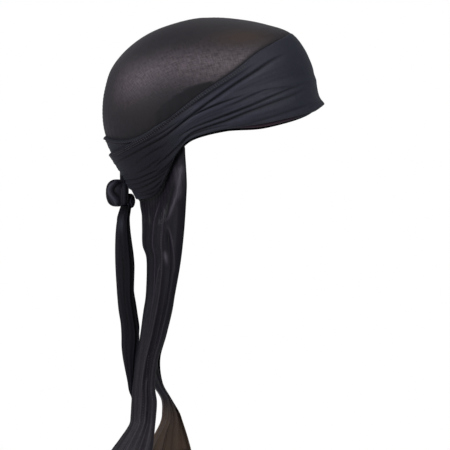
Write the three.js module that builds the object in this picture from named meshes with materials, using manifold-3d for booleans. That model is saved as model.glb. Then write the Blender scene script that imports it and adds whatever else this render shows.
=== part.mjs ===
// A durag as it is worn and tied, in millimetres. +X is the wearer's front, +Y the wearer's left and +Z up.
// The origin is the point inside the crown that rests on the top of the head.
// Two crown panels meet under a centre seam. One strap winds round the head under the other, the outer
// strap's ends are knotted at the nape, and a flap of two panels hangs behind the neck.
import * as THREE from 'three';
import Module from 'manifold-3d';
import { mergeVertices } from 'three/addons/utils/BufferGeometryUtils.js';
import { LoftGeometry } from 'three/addons/geometries/LoftGeometry.js';

const wasm = await Module();
wasm.setup();

// The head that the durag is tied round
const headLength = 196;
const headBreadth = 153;
const crownHeight = 85; // from the head's widest level up to the origin

// Cloth
const crownWall = 1.2;
const strapWall = 1.2;
const flapWall = 1.2;
const tieWall = 1.2;
const layerGap = 0.7;
const panelGap = 0.3;
const strapFoldDepth = 1.9;
const innerFoldDepth = 1.3;
const foldSpan = 0.16; // the share of the strap's width at which a fold has its full depth
const flapFoldDepth = 5;

// What hangs
const flapDrop = 412; // from the origin down to the hem
const knotWidth = 27;
const knotHeight = 26;
const tieLength = 177;
const farTieLength = 165;
const seamWidth = 3.4;
const seamHeight = 1;

// The head's shape: reach at each elevation, in degrees, as a share of the head's own half sizes
const headForm = [
  { elevation: -60, front: 1.05, back: 1.085, side: 1.06 },
  { elevation: -45, front: 1.05, back: 1.012, side: 1.0 },
  { elevation: -30, front: 1.06, back: 0.973, side: 0.975 },
  { elevation: -15, front: 1.07, back: 0.966, side: 0.985 },
  { elevation: 0, front: 1.08, back: 0.96, side: 1.0 },
  { elevation: 8, front: 1.045, back: 0.962, side: 1.004 },
  { elevation: 16, front: 1.052, back: 0.968, side: 1.015 },
  { elevation: 26, front: 1.105, back: 0.985, side: 1.03 },
  { elevation: 36, front: 1.143, back: 0.987, side: 1.042 },
  { elevation: 46, front: 1.158, back: 0.985, side: 1.046 },
  { elevation: 58, front: 1.095, back: 0.978, side: 1.038 },
  { elevation: 72, front: 1.04, back: 0.977, side: 1.018 },
  { elevation: 90, front: 1.0, back: 1.0, side: 1.0 },
];

// Elevations of each wrapped edge at each azimuth from the front, in degrees, the same on both sides.
// crownRim is also where the flap is sewn on, from flapAzimuth round the back.
const edges = [
  { azimuth: 0, outerTop: 46, outerRim: 2.7, innerTop: 17.5, innerRim: 3.9, crownRim: 12 },
  { azimuth: 15, outerTop: 45.2, outerRim: 1.6, innerTop: 17, innerRim: 2, crownRim: 11 },
  { azimuth: 30, outerTop: 42.5, outerRim: -1.2, innerTop: 15.5, innerRim: -2.2, crownRim: 7.5 },
  { azimuth: 45, outerTop: 38.5, outerRim: -5.2, innerTop: 13, innerRim: -6.4, crownRim: 2 },
  { azimuth: 60, outerTop: 32.3, outerRim: -9.2, innerTop: 9.5, innerRim: -10.2, crownRim: -4 },
  { azimuth: 75, outerTop: 21.8, outerRim: -11.4, innerTop: 5.5, innerRim: -11, crownRim: -8.2 },
  { azimuth: 90, outerTop: 11.4, outerRim: -14.8, innerTop: 2, innerRim: -14, crownRim: -12.4 },
  { azimuth: 100, outerTop: 2.5, outerRim: -19.4, innerTop: -1, innerRim: -18.4, crownRim: -16 },
  { azimuth: 108, outerTop: -4.6, outerRim: -28.8, innerTop: -5, innerRim: -27.6, crownRim: -24 },
  { azimuth: 116, outerTop: -10.2, outerRim: -40.5, innerTop: -9.5, innerRim: -39.4, crownRim: -34 },
  { azimuth: 125, outerTop: -15.6, outerRim: -49.5, innerTop: -14.8, innerRim: -50, crownRim: -43.5 },
  { azimuth: 137, outerTop: -20.6, outerRim: -54, innerTop: -18.2, innerRim: -55.8, crownRim: -48.5 },
  { azimuth: 150, outerTop: -24.8, outerRim: -54, innerTop: -18.7, innerRim: -57.8, crownRim: -49.6 },
  { azimuth: 162, outerTop: -27.2, outerRim: -52.5, innerTop: -18.6, innerRim: -58.6, crownRim: -50.9 },
  { azimuth: 171, outerTop: -28.6, outerRim: -51, innerTop: -18.5, innerRim: -58.6, crownRim: -50.6 },
  { azimuth: 180, outerTop: -29, outerRim: -50, innerTop: -18.5, innerRim: -58.6, crownRim: -50 },
];
const flapAzimuth = 100;
const strapEndAzimuth = 178.5;
const panelCorner = 24; // the azimuth where a crown panel's front rim turns into its side rim

// The creases that run along the outer strap: where each lies at each azimuth, as a share of the strap's width
// from its upper edge, and how deep the strap's folds are there, as shares of strapFoldDepth and innerFoldDepth
const creases = [
  { azimuth: 0, high: 0.22, upper: 0.45, middle: 0.62, lower: 0.7, hem: 0.93, outer: 0, inner: 0 },
  { azimuth: 25, high: 0.22, upper: 0.45, middle: 0.62, lower: 0.7, hem: 0.94, outer: 0.05, inner: 0 },
  { azimuth: 40, high: 0.21, upper: 0.46, middle: 0.62, lower: 0.715, hem: 0.93, outer: 0.35, inner: 0 },
  { azimuth: 55, high: 0.205, upper: 0.48, middle: 0.645, lower: 0.735, hem: 0.9, outer: 0.7, inner: 0 },
  { azimuth: 70, high: 0.225, upper: 0.5, middle: 0.68, lower: 0.775, hem: 0.94, outer: 0.9, inner: 0 },
  { azimuth: 85, high: 0.3, upper: 0.47, middle: 0.69, lower: 0.81, hem: 0.95, outer: 1, inner: 0 },
  { azimuth: 95, high: 0.35, upper: 0.48, middle: 0.68, lower: 0.81, hem: 0.94, outer: 1, inner: 0 },
  { azimuth: 105, high: 0.35, upper: 0.49, middle: 0.64, lower: 0.81, hem: 0.93, outer: 0.95, inner: 0.1 },
  { azimuth: 115, high: 0.27, upper: 0.43, middle: 0.6, lower: 0.76, hem: 0.91, outer: 0.85, inner: 0.3 },
  { azimuth: 125, high: 0.19, upper: 0.36, middle: 0.55, lower: 0.72, hem: 0.87, outer: 0.75, inner: 0.5 },
  { azimuth: 145, high: 0.185, upper: 0.38, middle: 0.55, lower: 0.7, hem: 0.85, outer: 0.7, inner: 0.6 },
  { azimuth: 160, high: 0.22, upper: 0.42, middle: 0.58, lower: 0.73, hem: 0.88, outer: 0.65, inner: 0.6 },
  { azimuth: 180, high: 0.3, upper: 0.5, middle: 0.66, lower: 0.8, hem: 0.92, outer: 0.6, inner: 0.6 },
];
const creaseNames = ['high', 'upper', 'middle', 'lower', 'hem'];

// The hanging flap at each height: drop as a share of flapDrop, x as shares of headLength, y of headBreadth.
// Each panel runs from its seam edge, at the centre of the back, round to its free front edge.
const rightPanel = [
  { drop: 0.25, seamX: -0.312, seamY: 0, edgeX: -0.085, edgeY: 0.47, fold: 0 },
  { drop: 0.35, seamX: -0.308, seamY: 0, edgeX: -0.086, edgeY: 0.445, fold: 0.15 },
  { drop: 0.41, seamX: -0.302, seamY: 0, edgeX: -0.091, edgeY: 0.42, fold: 0.3 },
  { drop: 0.47, seamX: -0.299, seamY: 0, edgeX: -0.099, edgeY: 0.405, fold: 0.4 },
  { drop: 0.51, seamX: -0.297, seamY: 0, edgeX: -0.107, edgeY: 0.395, fold: 0.45 },
  { drop: 0.535, seamX: -0.28, seamY: 0, edgeX: -0.113, edgeY: 0.39, fold: 0.5 },
  { drop: 0.57, seamX: -0.277, seamY: 0, edgeX: -0.122, edgeY: 0.38, fold: 0.6 },
  { drop: 0.625, seamX: -0.28, seamY: 0, edgeX: -0.142, edgeY: 0.365, fold: 0.75 },
  { drop: 0.66, seamX: -0.29, seamY: 0, edgeX: -0.157, edgeY: 0.355, fold: 0.85 },
  { drop: 0.715, seamX: -0.303, seamY: 0, edgeX: -0.187, edgeY: 0.345, fold: 0.95 },
  { drop: 0.77, seamX: -0.318, seamY: 0.005, edgeX: -0.221, edgeY: 0.335, fold: 1 },
  { drop: 0.825, seamX: -0.334, seamY: 0.012, edgeX: -0.234, edgeY: 0.33, fold: 1 },
  { drop: 0.86, seamX: -0.341, seamY: 0.02, edgeX: -0.225, edgeY: 0.33, fold: 1 },
  { drop: 0.893, seamX: -0.348, seamY: 0.028, edgeX: -0.229, edgeY: 0.335, fold: 1 },
  { drop: 0.912, seamX: -0.353, seamY: 0.034, edgeX: -0.233, edgeY: 0.345, fold: 1 },
  { drop: 0.943, seamX: -0.398, seamY: 0.046, edgeX: -0.239, edgeY: 0.37, fold: 1.1 },
  { drop: 0.972, seamX: -0.441, seamY: 0.056, edgeX: -0.247, edgeY: 0.4, fold: 1.2 },
  { drop: 1, seamX: -0.478, seamY: 0.064, edgeX: -0.256, edgeY: 0.43, fold: 1.3 },
];
// The left panel parts from the right one below the seam's end and falls forward
const leftPanel = [
  { drop: 0.25, seamX: -0.312, seamY: 0, edgeX: -0.085, edgeY: 0.47, fold: 0 },
  { drop: 0.35, seamX: -0.308, seamY: 0, edgeX: -0.086, edgeY: 0.445, fold: 0.15 },
  { drop: 0.41, seamX: -0.302, seamY: 0, edgeX: -0.091, edgeY: 0.42, fold: 0.3 },
  { drop: 0.47, seamX: -0.299, seamY: 0, edgeX: -0.099, edgeY: 0.405, fold: 0.4 },
  { drop: 0.51, seamX: -0.297, seamY: 0, edgeX: -0.107, edgeY: 0.395, fold: 0.45 },
  { drop: 0.535, seamX: -0.28, seamY: 0, edgeX: -0.113, edgeY: 0.39, fold: 0.5 },
  { drop: 0.57, seamX: -0.277, seamY: 0, edgeX: -0.124, edgeY: 0.385, fold: 0.6 },
  { drop: 0.625, seamX: -0.28, seamY: 0, edgeX: -0.145, edgeY: 0.38, fold: 0.75 },
  { drop: 0.66, seamX: -0.284, seamY: 0.012, edgeX: -0.157, edgeY: 0.375, fold: 0.85 },
  { drop: 0.715, seamX: -0.29, seamY: 0.035, edgeX: -0.185, edgeY: 0.385, fold: 0.9 },
  { drop: 0.77, seamX: -0.283, seamY: 0.07, edgeX: -0.203, edgeY: 0.41, fold: 0.9 },
  { drop: 0.825, seamX: -0.243, seamY: 0.115, edgeX: -0.183, edgeY: 0.445, fold: 0.9 },
  { drop: 0.86, seamX: -0.2, seamY: 0.14, edgeX: -0.151, edgeY: 0.465, fold: 0.9 },
  { drop: 0.893, seamX: -0.199, seamY: 0.155, edgeX: -0.123, edgeY: 0.49, fold: 0.9 },
  { drop: 0.912, seamX: -0.208, seamY: 0.165, edgeX: -0.109, edgeY: 0.505, fold: 0.9 },
  { drop: 0.943, seamX: -0.242, seamY: 0.175, edgeX: -0.088, edgeY: 0.525, fold: 0.9 },
  { drop: 0.972, seamX: -0.27, seamY: 0.185, edgeX: -0.071, edgeY: 0.54, fold: 0.9 },
  { drop: 1, seamX: -0.294, seamY: 0.19, edgeX: -0.057, edgeY: 0.55, fold: 0.9 },
];
const panelFolds = 3;
const seamSettle = 16; // the fall over which a panel finds its hang, beside the back seam and at its front edge
const edgeSettle = 38;

// A tie's fall from the knot: drop as a share of its length; back and front are x, and spread the gap
// between its two leaves, as shares of knotWidth from the knot's centre
const tieFall = [
  { drop: 0, back: -0.1, front: 0.22, spread: 0.171 },
  { drop: 0.03, back: -0.17, front: 0.2, spread: 0.161 },
  { drop: 0.07, back: -0.245, front: 0.175, spread: 0.141 },
  { drop: 0.13, back: -0.29, front: 0.2, spread: 0.121 },
  { drop: 0.2, back: -0.307, front: 0.255, spread: 0.111 },
  { drop: 0.27, back: -0.3, front: 0.315, spread: 0.101 },
  { drop: 0.335, back: -0.272, front: 0.347, spread: 0.091 },
  { drop: 0.41, back: -0.228, front: 0.335, spread: 0.081 },
  { drop: 0.475, back: -0.186, front: 0.33, spread: 0.081 },
  { drop: 0.545, back: -0.138, front: 0.4, spread: 0.081 },
  { drop: 0.61, back: -0.094, front: 0.46, spread: 0.071 },
  { drop: 0.675, back: -0.083, front: 0.515, spread: 0.061 },
  { drop: 0.73, back: -0.083, front: 0.49, spread: 0.061 },
  { drop: 0.785, back: -0.038, front: 0.43, spread: 0.055 },
  { drop: 0.85, back: 0.038, front: 0.375, spread: 0.05 },
  { drop: 0.91, back: 0.09, front: 0.335, spread: 0.045 },
  { drop: 0.96, back: 0.125, front: 0.315, spread: 0.04 },
  { drop: 1, back: 0.18, front: 0.305, spread: 0.04 },
];

// The value of a table's column at a place along its key, on a smooth curve through the rows
function rowValue(table, key, column, at) {
  const last = table.length - 1;
  const place = THREE.MathUtils.clamp(at, table[0][key], table[last][key]);
  let i = 0;
  while (i < last - 1 && place > table[i + 1][key]) i += 1;
  const slope = (j) => {
    const before = table[Math.max(j - 1, 0)];
    const after = table[Math.min(j + 1, last)];
    return (after[column] - before[column]) / (after[key] - before[key]);
  };
  const step = table[i + 1][key] - table[i][key];
  const t = (place - table[i][key]) / step;
  const rise = t * t * (3 - 2 * t);
  const leave = t * (1 - t) * (1 - t) * step * slope(i);
  const arrive = -t * t * (1 - t) * step * slope(i + 1);
  return table[i][column] * (1 - rise) + table[i + 1][column] * rise + leave + arrive;
}

// A direction from the head's centre, in the head's own shares
function direction(azimuth, elevation) {
  const turn = THREE.MathUtils.degToRad(azimuth);
  const tilt = THREE.MathUtils.degToRad(elevation);
  const level = Math.cos(tilt);
  return new THREE.Vector3(level * Math.cos(turn), level * Math.sin(turn), Math.sin(tilt));
}

function headPoint(way) {
  const unit = way.clone().normalize();
  const elevation = THREE.MathUtils.radToDeg(Math.asin(THREE.MathUtils.clamp(unit.z, -1, 1)));
  const level = Math.max(Math.hypot(unit.x, unit.y), 1e-9);
  const ahead = rowValue(headForm, 'elevation', unit.x >= 0 ? 'front' : 'back', elevation);
  const aside = rowValue(headForm, 'elevation', 'side', elevation);
  const squareness = 2 + 0.25 * level * level;
  const across = (Math.abs(unit.x) / level / ahead) ** squareness + (Math.abs(unit.y) / level / aside) ** squareness;
  const reach = across ** (-1 / squareness);
  return new THREE.Vector3(
    unit.x * reach * headLength / 2,
    unit.y * reach * headBreadth / 2,
    unit.z * reach * crownHeight - crownHeight,
  );
}

// A point that lies off the head by lift, square to its surface
function onHead(way, lift) {
  const unit = way.clone().normalize();
  const helper = Math.abs(unit.z) > 0.9 ? new THREE.Vector3(1, 0, 0) : new THREE.Vector3(0, 0, 1);
  const first = new THREE.Vector3().crossVectors(helper, unit).normalize();
  const second = new THREE.Vector3().crossVectors(unit, first);
  const nudge = 1e-3;
  const spot = headPoint(unit);
  const alongFirst = headPoint(unit.clone().addScaledVector(first, nudge)).sub(spot);
  const alongSecond = headPoint(unit.clone().addScaledVector(second, nudge)).sub(spot);
  return spot.addScaledVector(alongFirst.cross(alongSecond).normalize(), lift);
}

// A sheet of cloth: a flat box's grid of columns by rows, whose points place(u, v, side) puts in space.
// u and v run from 0 to 1, and side is 1 on the outer face and 0 on the inner one.
function sheet(columns, rows, place, flipped = false) {
  const geometry = new THREE.BoxGeometry(1, 1, 1, columns, 1, rows);
  const grid = geometry.getAttribute('position');
  for (let i = 0; i < grid.count; i += 1) {
    const spot = place(grid.getX(i) + 0.5, grid.getZ(i) + 0.5, grid.getY(i) + 0.5);
    grid.setXYZ(i, spot.x, spot.y, spot.z);
  }
  // The inner face's squares are split along the same diagonals as the outer face's, so that a thin wall holds
  const corners = geometry.index.array;
  const innerFace = geometry.groups[3];
  for (let i = innerFace.start; i < innerFace.start + innerFace.count; i += 6) {
    const [a, b, d, , c] = corners.slice(i, i + 5);
    corners.set([a, b, c, a, c, d], i);
  }
  if (flipped) {
    for (let i = 0; i < corners.length; i += 3) [corners[i], corners[i + 1]] = [corners[i + 1], corners[i]];
  }
  geometry.computeVertexNormals();
  return geometry;
}

// A solid for cutting and joining
function solidOf(geometry) {
  const bare = new THREE.BufferGeometry();
  bare.setAttribute('position', geometry.getAttribute('position'));
  bare.setIndex(geometry.index);
  const merged = mergeVertices(bare, 1e-3);
  return new wasm.Manifold(new wasm.Mesh({
    numProp: 3,
    vertProperties: new Float32Array(merged.getAttribute('position').array),
    triVerts: new Uint32Array(merged.index.array),
  }));
}

function geometryOf(solid) {
  const mesh = solid.getMesh();
  const geometry = new THREE.BufferGeometry();
  geometry.setAttribute('position', new THREE.BufferAttribute(new Float32Array(mesh.vertProperties), 3));
  geometry.setIndex(new THREE.BufferAttribute(new Uint32Array(mesh.triVerts), 1));
  geometry.computeVertexNormals();
  return geometry;
}

function edgeAt(column, azimuth) {
  return rowValue(edges, 'azimuth', column, Math.min(azimuth, 360 - azimuth));
}

// Crown panels: a patch from the centre seam down to the rim, on one side (+1 left, -1 right)
function crownPanel(hand) {
  const backCorner = 180 - panelCorner;
  const halfGap = panelGap / 2;
  const frontStart = edgeAt('crownRim', 0);
  const seamSweep = 180 - edgeAt('crownRim', 180) - frontStart;
  const place = (u, v, side) => {
    const sweep = frontStart + u * seamSweep;
    const seam = sweep <= 90 ? direction(0, sweep) : direction(180, 180 - sweep);
    const azimuth = panelCorner + u * (backCorner - panelCorner);
    const rim = direction(azimuth, edgeAt('crownRim', azimuth));
    const arc = seam.angleTo(rim);
    const way = seam.multiplyScalar(Math.sin((1 - v) * arc)).addScaledVector(rim, Math.sin(v * arc));
    const spot = onHead(way, side * crownWall);
    return new THREE.Vector3(spot.x, hand * Math.max(spot.y, halfGap), spot.z);
  };
  return sheet(24, 10, place, hand < 0);
}

// The rolled seam that covers where the two crown panels meet
function centreSeam() {
  const frontStart = edgeAt('outerTop', 0) + 1.5;
  const backEnd = 180 - edgeAt('innerTop', 180) - 1.5;
  const place = (u, v, side) => {
    const sweep = frontStart + u * (backEnd - frontStart);
    const seam = sweep <= 90 ? direction(0, sweep) : direction(180, 180 - sweep);
    const across = v - 0.5;
    const crest = 1 - 4 * across * across * 0.6;
    const spot = onHead(seam, crownWall + layerGap / 2 + side * seamHeight * crest);
    spot.y = across * seamWidth;
    return spot;
  };
  return sheet(30, 2, place);
}

// Folds across a strap, from 0 in a crease to 1 on a ridge
function pleat(v, count) {
  return 0.5 - 0.5 * Math.cos(2 * Math.PI * count * v);
}

// The outer strap's grid lines at one azimuth: its upper edge, then a ridge and a crease by turns, and its rim
function strapLines(azimuth) {
  const lines = [{ share: 0, rise: 0 }];
  for (const name of [...creaseNames, 'rim']) {
    const share = name === 'rim' ? 1 : rowValue(creases, 'azimuth', name, azimuth);
    const before = lines[lines.length - 1].share;
    lines.push({ share: (before + share) / 2, rise: Math.min((share - before) / foldSpan, 1) });
    lines.push({ share, rise: 0 });
  }
  return lines;
}

// How far a strap's inner face lies off the head
const innerLift = crownWall + layerGap;
const degreesPerMillimetre = 0.65; // along the head's surface, near enough to widen a strap by

// Each strap can be asked for grown: wider and thicker by grow, and deepened inwards by deepen, to cut with
function innerStrap(grow = 0, deepen = 0) {
  const turns = 60;
  const rows = 4;
  const widen = grow * degreesPerMillimetre;
  const sections = [];
  for (let i = 0; i <= turns; i += 1) {
    const azimuth = 360 * (i % turns) / turns;
    const top = edgeAt('innerTop', azimuth) + widen;
    const rim = edgeAt('innerRim', azimuth) - widen;
    const growth = rowValue(creases, 'azimuth', 'inner', Math.min(azimuth, 360 - azimuth));
    const at = (v, lift) => onHead(
      direction(azimuth, top + v * (rim - top)),
      innerLift + innerFoldDepth * growth * pleat(v, 2) + lift,
    );
    const section = [];
    for (let j = 0; j <= rows; j += 1) section.push(at(j / rows, strapWall + grow));
    for (let j = rows; j >= 0; j -= 1) section.push(at(j / rows, -deepen));
    sections.push(section);
  }
  return new LoftGeometry(sections);
}

// Where the outer strap has the inner one under it, it is lifted clear of it
function outerLift(azimuth, elevation) {
  const growth = rowValue(creases, 'azimuth', 'inner', azimuth);
  const below = rowValue(edges, 'azimuth', 'innerTop', azimuth) + 5 - elevation;
  const step = THREE.MathUtils.smoothstep(below, 0, 5);
  return innerLift + step * (strapWall + layerGap + innerFoldDepth * growth);
}

function outerStrap(grow = 0, deepen = 0) {
  const widen = grow * degreesPerMillimetre;
  const rows = 2 * (creaseNames.length + 1);
  const place = (u, v, side) => {
    const azimuth = (u * 2 - 1) * (strapEndAzimuth + widen);
    const near = Math.abs(azimuth);
    const top = rowValue(edges, 'azimuth', 'outerTop', near) + widen;
    const rim = rowValue(edges, 'azimuth', 'outerRim', near) - widen;
    const line = strapLines(near)[Math.round(v * rows)];
    const elevation = top + line.share * (rim - top);
    const fold = strapFoldDepth * rowValue(creases, 'azimuth', 'outer', near) * line.rise;
    const lift = outerLift(near, elevation) + fold + (side ? strapWall + grow : -deepen);
    return onHead(direction(azimuth, elevation), lift);
  };
  return sheet(60, rows, place);
}

// Flap panels
function panelPoint(table, hand, s, v, side) {
  const azimuth = 180 - s * (180 - flapAzimuth);
  const tuck = edgeAt('crownRim', azimuth) - 1.6;
  const leave = Math.min(edgeAt('innerRim', azimuth), edgeAt('outerRim', azimuth)) - 1.2;
  const tucked = 0.09; // the share of the rows that lies under the straps
  const underStraps = Math.min(v / tucked, 1);
  const spot = onHead(direction(azimuth, tuck + underStraps * (leave - tuck)), side * flapWall);
  spot.y = Math.max(spot.y, 0);
  if (v > tucked) {
    const top = spot.z;
    const fall = (v - tucked) / (1 - tucked);
    const drop = (1 - fall) * -top / flapDrop + fall;
    const turn = s * Math.PI / 2;
    const at = (column) => rowValue(table, 'drop', column, drop);
    const seam = new THREE.Vector2(at('seamX') * headLength, Math.max(at('seamY'), 0) * headBreadth);
    const edge = new THREE.Vector2(at('edgeX') * headLength, at('edgeY') * headBreadth);
    const hang = new THREE.Vector2(
      seam.x + (edge.x - seam.x) * (1 - Math.cos(turn)),
      seam.y + (edge.y - seam.y) * Math.sin(turn),
    );
    const settle = THREE.MathUtils.smoothstep(drop * flapDrop + top, 0, seamSettle + s * (edgeSettle - seamSettle));
    const wave = -Math.sin(2 * Math.PI * panelFolds * s) * flapFoldDepth * at('fold') * settle;
    const outward = new THREE.Vector2(-Math.cos(turn), Math.sin(turn));
    const off = wave + (side - 1) * flapWall;
    hang.addScaledVector(outward, off);
    spot.set(
      THREE.MathUtils.lerp(spot.x, hang.x, settle),
      THREE.MathUtils.lerp(spot.y, hang.y, settle),
      -drop * flapDrop,
    );
  }
  return new THREE.Vector3(spot.x, hand * (spot.y + panelGap / 2), spot.z);
}

function flapPanel(table, hand) {
  return sheet(12, 23, (u, v, side) => panelPoint(table, hand, 1 - u, v, side), hand < 0);
}

// The knot's bunches: centre and half sizes as shares of knotWidth (x, y) and knotHeight (z), how square each
// is (2 is round), and how deep its pleats are
const knotCentre = new THREE.Vector3(-0.382 * headLength, 0, -1.906 * crownHeight);
const knotBunches = [
  { x: -0.33, z: 0, wide: 0.31, deep: 0.46, tall: 0.5, square: 3, pleats: 0.06 }, // the bow's loop
  { x: 0.03, z: 0.02, wide: 0.19, deep: 0.34, tall: 0.56, square: 2.6, pleats: 0.04 }, // the turn round it
  { x: 0.22, z: -0.2, wide: 0.17, deep: 0.26, tall: 0.32, square: 2.3, pleats: 0.05 }, // the bunched end
  { x: 0.02, z: 0.56, wide: 0.22, deep: 0.46, tall: 0.36, square: 2.4, pleats: 0.05 }, // the neck of the straps
];

function bunch(row) {
  const ball = new THREE.SphereGeometry(1, 14, 10);
  const grid = ball.getAttribute('position');
  for (let i = 0; i < grid.count; i += 1) {
    const way = new THREE.Vector3().fromBufferAttribute(grid, i);
    const level = Math.hypot(way.x, way.z);
    const powers = Math.abs(way.x) ** row.square + Math.abs(way.y) ** row.square + Math.abs(way.z) ** row.square;
    const crease = 1 + row.pleats * level * (Math.cos(14 * Math.atan2(way.x, way.y)) - 1);
    const reach = powers ** (-1 / row.square) * crease;
    grid.setXYZ(
      i,
      knotCentre.x + (row.x + way.x * reach * row.wide) * knotWidth,
      way.y * reach * row.deep * knotWidth,
      knotCentre.z + (row.z + way.z * reach * row.tall) * knotHeight,
    );
  }
  return solidOf(ball);
}

function knot() {
  const straps = solidOf(innerStrap(layerGap, 8)).add(solidOf(outerStrap(layerGap, 8)));
  const bodies = wasm.Manifold.union(knotBunches.map(bunch)).subtract(straps).decompose();
  return geometryOf(bodies.sort((a, b) => b.volume() - a.volume())[0]);
}

// A tie hangs from the knot as one strap folded lengthwise: a near leaf, the fold at its back and a far leaf
function tiePoint(length, offset, hand, s, v, side) {
  const at = (column) => rowValue(tieFall, 'drop', column, v);
  const back = at('back') * knotWidth;
  const width = at('front') * knotWidth - back;
  const spread = at('spread') * knotWidth / 2;
  const leaf = Math.abs(s - 0.5) * 2;
  const outward = s < 0.5 ? -1 : 1;
  const share = s < 0.5 ? 0.78 : 1;
  const bow = Math.sin(Math.min(leaf * 1.25, 1) * Math.PI / 2);
  const clear = Math.min(1, leaf * 3);
  const wall = side ? 0 : tieWall;
  const turned = side ? Math.min(tieWall, width * 0.45) : 0;
  const top = knotCentre.z - 0.5 * knotHeight - layerGap;
  return new THREE.Vector3(
    knotCentre.x + back + width * share * leaf ** 1.6 + turned * (1 - clear),
    hand * (offset + outward * (wall * clear + spread * bow * (1 - 0.35 * leaf))),
    top - v * length,
  );
}

function tie(length, offset, hand) {
  return sheet(8, 17, (u, v, side) => tiePoint(length, offset, hand, u, v, 1 - side), hand > 0);
}

const satin = {
  crown: new THREE.MeshStandardMaterial({ color: 0x343236, roughness: 0.42, metalness: 0 }),
  strap: new THREE.MeshStandardMaterial({ color: 0x272a32, roughness: 0.5, metalness: 0 }),
  flap: new THREE.MeshStandardMaterial({ color: 0x222125, roughness: 0.45, metalness: 0 }),
};

const durag = new THREE.Group();

function addPiece(name, geometry, material) {
  const piece = new THREE.Mesh(geometry, material);
  piece.name = name;
  durag.add(piece);
}

addPiece('crown_right', crownPanel(-1), satin.crown);
addPiece('crown_left', crownPanel(1), satin.crown);
addPiece('centre_seam', centreSeam(), satin.crown);
addPiece('inner_strap', innerStrap(), satin.strap);
addPiece('outer_strap', outerStrap(), satin.strap);
addPiece('flap_right', flapPanel(rightPanel, -1), satin.flap);
addPiece('flap_left', flapPanel(leftPanel, 1), satin.flap);
addPiece('knot', knot(), satin.strap);
addPiece('tie_end_right', tie(tieLength, 5, -1), satin.strap);
addPiece('tie_end_left', tie(farTieLength, 5, 1), satin.strap);

export default durag;
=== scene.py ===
import bpy
import bmesh
import math
import numpy as np
from mathutils import Matrix, Vector


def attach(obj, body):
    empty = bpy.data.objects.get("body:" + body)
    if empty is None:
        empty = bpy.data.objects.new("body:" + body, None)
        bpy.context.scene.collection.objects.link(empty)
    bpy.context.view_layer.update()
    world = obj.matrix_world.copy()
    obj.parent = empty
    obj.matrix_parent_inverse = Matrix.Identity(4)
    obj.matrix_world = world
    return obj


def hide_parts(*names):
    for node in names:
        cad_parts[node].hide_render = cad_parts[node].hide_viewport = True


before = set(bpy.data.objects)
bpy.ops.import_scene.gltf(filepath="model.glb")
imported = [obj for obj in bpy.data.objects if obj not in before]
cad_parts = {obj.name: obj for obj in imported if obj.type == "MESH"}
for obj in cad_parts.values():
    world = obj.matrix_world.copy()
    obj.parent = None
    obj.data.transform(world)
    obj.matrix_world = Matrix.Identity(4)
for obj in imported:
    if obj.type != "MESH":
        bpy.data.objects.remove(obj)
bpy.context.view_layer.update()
print("frame loaded:", len(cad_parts), "nodes")

# Shapes are worked out in millimetres and set down in metres.
metre = 0.001


# The camera: level, looking along +Y, far back so that the near and far side hardly differ in size
view = {"distance": 6.0, "aimX": 0.0186, "aimZ": -0.1913, "frameWidth": 0.4185, "sensor": 36.0}
cameraData = bpy.data.cameras.new("camera")
cameraData.sensor_width = view["sensor"]
cameraData.lens = view["sensor"] * view["distance"] / view["frameWidth"]
cameraData.clip_end = 40
cameraObject = bpy.data.objects.new("camera", cameraData)
cameraObject.location = (view["aimX"], -view["distance"], view["aimZ"])
cameraObject.rotation_euler = (math.radians(90), 0, 0)
bpy.context.collection.objects.link(cameraObject)
bpy.context.scene.camera = cameraObject
print("camera set")


# The form that the cloth is stretched over: reach at each elevation, as a share of the half sizes
head = {
    "length": 196.0,
    "breadth": 153.0,
    "height": 85.0,
    "elevation": [-60, -45, -30, -15, 0, 8, 16, 26, 36, 46, 58, 72, 90],
    "front": [1.05, 1.05, 1.06, 1.07, 1.08, 1.045, 1.052, 1.105, 1.143, 1.158, 1.093, 1.036, 1.0],
    "back": [1.18, 1.012, 0.967, 0.966, 0.96, 0.962, 0.968, 0.985, 0.987, 0.985, 0.983, 0.979, 1.0],
    "side": [1.06, 1.0, 0.975, 0.985, 1.0, 1.004, 1.015, 1.03, 1.042, 1.046, 1.038, 1.018, 1.0],
}

# Elevation of each edge at each azimuth from the front, the same on both sides
edges = {
    "azimuth": [0, 15, 30, 45, 60, 75, 90, 100, 108, 116, 125, 137, 150, 162, 171, 180],
    "outerTop": [46, 45.2, 42.5, 38.5, 32.3, 21.8, 11.4, 2.5, -4.6, -10.2, -15.6, -20.4, -24, -25.8,
                 -26.8, -27.2],
    "outerRim": [2.7, 1.4, -1.4, -4.7, -8.2, -10.9, -14.8, -19.4, -28.8, -40.5, -49.5, -53.4, -53.4,
                 -52, -50.8, -49.8],
    "innerTop": [17.5, 17, 15.5, 13, 9.5, 5.5, 2, -1, -5, -9.5, -14.8, -18.1, -18.1, -17.1, -16.4,
                 -16.1],
    "innerRim": [3.9, 1.8, -2.8, -6.8, -10.4, -11.7, -14, -18.4, -27.6, -39.4, -50, -55.6, -57,
                 -57.2, -57.2, -57.2],
    "crownRim": [12, 11, 7.5, 2, -4, -8.2, -12.4, -16, -24, -34, -43.5, -48.5, -49.6, -50.9, -50.6, -50],
}

# Layers of cloth from the head outwards
cloth = {"wall": 1.2, "gap": 0.6, "shown": 0.9, "panelGap": 0.3}


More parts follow.
